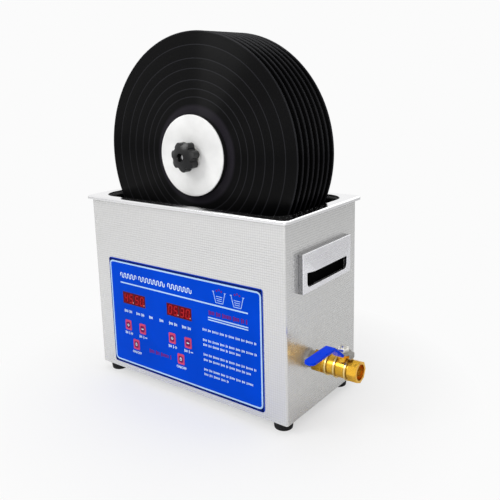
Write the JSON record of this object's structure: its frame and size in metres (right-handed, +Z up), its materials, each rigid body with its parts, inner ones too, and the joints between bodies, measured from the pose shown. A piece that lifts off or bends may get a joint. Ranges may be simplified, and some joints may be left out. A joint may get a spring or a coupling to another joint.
{
  "type": "record cleaning machine",
  "caption": "Bench ultrasonic tank with a digital panel, a side drain valve and a motor-driven rack that turns a stack of records in the bath.",
  "frame": {"origin": "on the surface that the feet stand on, under the middle of the casing", "axes": "+X to the right along the front, towards the drain valve; +Y from the control panel to the back; +Z up"},
  "size_m": [0.3889, 0.2153, 0.465],
  "materials": {
    "casing_steel": "linen-embossed stainless sheet",
    "handle_steel": "smooth satin pressing",
    "tank_steel": "drawn, finely brushed",
    "plain_steel": "plain satin sheet",
    "bright_steel": "turned, bright",
    "polished_steel": "polished",
    "panel_blue": "printed film, slight gloss",
    "display_red": "tinted window, glossy",
    "key_face": "printed keys, slight gloss",
    "foot_rubber": "moulded, matt",
    "board_green": "solder mask",
    "housing_black": "moulded, fine grain",
    "horn_alloy": "turned",
    "transducer_ceramic": "silvered rings, dull",
    "heater_rubber": "silicone pad",
    "rocker_red": "moulded, glossy",
    "valve_brass": "cast and turned, dull nickel wash",
    "seat_white": "waxy",
    "lever_blue": "steel strip in a glossy vinyl sleeve",
    "bush_bronze": "sintered bronze",
    "disc_white": "moulded acrylic, glossy",
    "spacer_black": "moulded, matt",
    "record_vinyl": "pressed vinyl with fine grooves",
    "knob_black": "moulded grip, fine grain"
  },
  "bodies": {
    "machine": {"casing": "casing_steel", "base_plate": "plain_steel", "feet": "foot_rubber", "foot_screws": "bright_steel", "tank": "tank_steel", "control_panel": "panel_blue", "displays": "display_red", "control_board": "board_green", "handle_right": "handle_steel", "handle_left": "handle_steel", "handle_cups": "housing_black", "transducer_horns": "horn_alloy", "transducer_ceramics": "transducer_ceramic", "transducer_backs": "plain_steel", "transducer_bolts": "bright_steel", "heater_pads": "heater_rubber", "generator_board": "board_green", "board_parts": "horn_alloy", "power_inlet": "housing_black", "drain_elbow": "tank_steel", "drain_locknut": "valve_brass", "valve_body": "valve_brass", "valve_seats": "seat_white", "gland_nut": "valve_brass", "rack_bracket": "plain_steel"},
    "temp_up_key": {"key_temp_up": "key_face"},
    "temp_down_key": {"key_temp_down": "key_face"},
    "heat_key": {"key_heat": "key_face"},
    "time_up_key": {"key_time_up": "key_face"},
    "time_down_key": {"key_time_down": "key_face"},
    "clean_key": {"key_clean": "key_face"},
    "mains_rocker": {"power_rocker": "rocker_red"},
    "drain_lever": {"valve_ball": "polished_steel", "valve_stem": "bright_steel", "valve_lever": "lever_blue", "lever_nut": "bright_steel"},
    "bracket_screw": {"clamp_screw": "knob_black"},
    "carriage": {"carriage_plate": "plain_steel", "bearing_housing": "housing_black", "bearing_bushes": "bush_bronze", "motor_housing": "housing_black", "motor_cover": "housing_black", "gear_motor": "plain_steel", "dc_jack": "housing_black"},
    "lock_knob": {"lift_knob": "knob_black"},
    "drive_rocker": {"motor_rocker": "rocker_red"},
    "record_stack": {"spindle": "polished_steel", "rear_disc": "disc_white", "label_spacers": "spacer_black", "record_1": "record_vinyl", "record_2": "record_vinyl", "record_3": "record_vinyl", "record_4": "record_vinyl", "record_5": "record_vinyl", "record_6": "record_vinyl", "record_7": "record_vinyl", "record_8": "record_vinyl", "label_disc": "disc_white"},
    "stack_washer": {"clamp_washer": "bright_steel"},
    "stack_knob": {"star_knob": "knob_black"}
  },
  "joints": [
    {"name": "temp_up_press", "type": "slide", "parent": "machine", "child": "temp_up_key", "axis": [0, 1, 0], "range_m": [0, 0.0005], "stiffness_N_per_m": 400},
    {"name": "temp_down_press", "type": "slide", "parent": "machine", "child": "temp_down_key", "axis": [0, 1, 0], "range_m": [0, 0.0005], "stiffness_N_per_m": 400},
    {"name": "heat_press", "type": "slide", "parent": "machine", "child": "heat_key", "axis": [0, 1, 0], "range_m": [0, 0.0005], "stiffness_N_per_m": 400},
    {"name": "time_up_press", "type": "slide", "parent": "machine", "child": "time_up_key", "axis": [0, 1, 0], "range_m": [0, 0.0005], "stiffness_N_per_m": 400},
    {"name": "time_down_press", "type": "slide", "parent": "machine", "child": "time_down_key", "axis": [0, 1, 0], "range_m": [0, 0.0005], "stiffness_N_per_m": 400},
    {"name": "clean_press", "type": "slide", "parent": "machine", "child": "clean_key", "axis": [0, 1, 0], "range_m": [0, 0.0005], "stiffness_N_per_m": 400},
    {"name": "mains_rocker_tilt", "type": "hinge", "parent": "machine", "child": "mains_rocker", "pos_m": [-0.1, 0.0815, 0.079], "axis": [1, 0, 0], "range_deg": [-20, 0]},
    {"name": "drain_lever_turn", "type": "hinge", "parent": "machine", "child": "drain_lever", "pos_m": [0.2, -0.028, 0.095], "axis": [0, 0, 1], "range_deg": [0, 90]},
    {"name": "bracket_screw_turn", "type": "hinge", "parent": "machine", "child": "bracket_screw", "pos_m": [0, 0.0903, 0.238], "axis": [0, 1, 0], "range_deg": [0, 360]},
    {"name": "rack_lift", "type": "slide", "parent": "machine", "child": "carriage", "axis": [0, 0, 1], "range_m": [0, 0.06]},
    {"name": "lock_knob_turn", "type": "hinge", "parent": "carriage", "child": "lock_knob", "pos_m": [0.048, 0.0734, 0.31404], "axis": [0, 1, 0], "range_deg": [0, 360]},
    {"name": "drive_rocker_tilt", "type": "hinge", "parent": "carriage", "child": "drive_rocker", "pos_m": [0, 0.0884, 0.34404], "axis": [1, 0, 0], "range_deg": [-20, 0]},
    {"name": "record_spin", "type": "hinge", "parent": "carriage", "child": "record_stack", "pos_m": [0, 0, 0.31404], "axis": [0, 1, 0], "continuous": true},
    {"name": "washer_slide", "type": "slide", "parent": "record_stack", "child": "stack_washer", "axis": [0, -1, 0], "range_m": [0, 0.0041]},
    {"name": "stack_knob_turn", "type": "hinge", "parent": "stack_washer", "child": "stack_knob", "pos_m": [0, -0.0524, 0.31404], "axis": [0, -1, 0], "range_deg": [0, 1440]}
  ],
  "couplings": [
    {"joint": "washer_slide", "follows": "stack_knob_turn", "m_per_rad": 0.00015915}
  ]
}
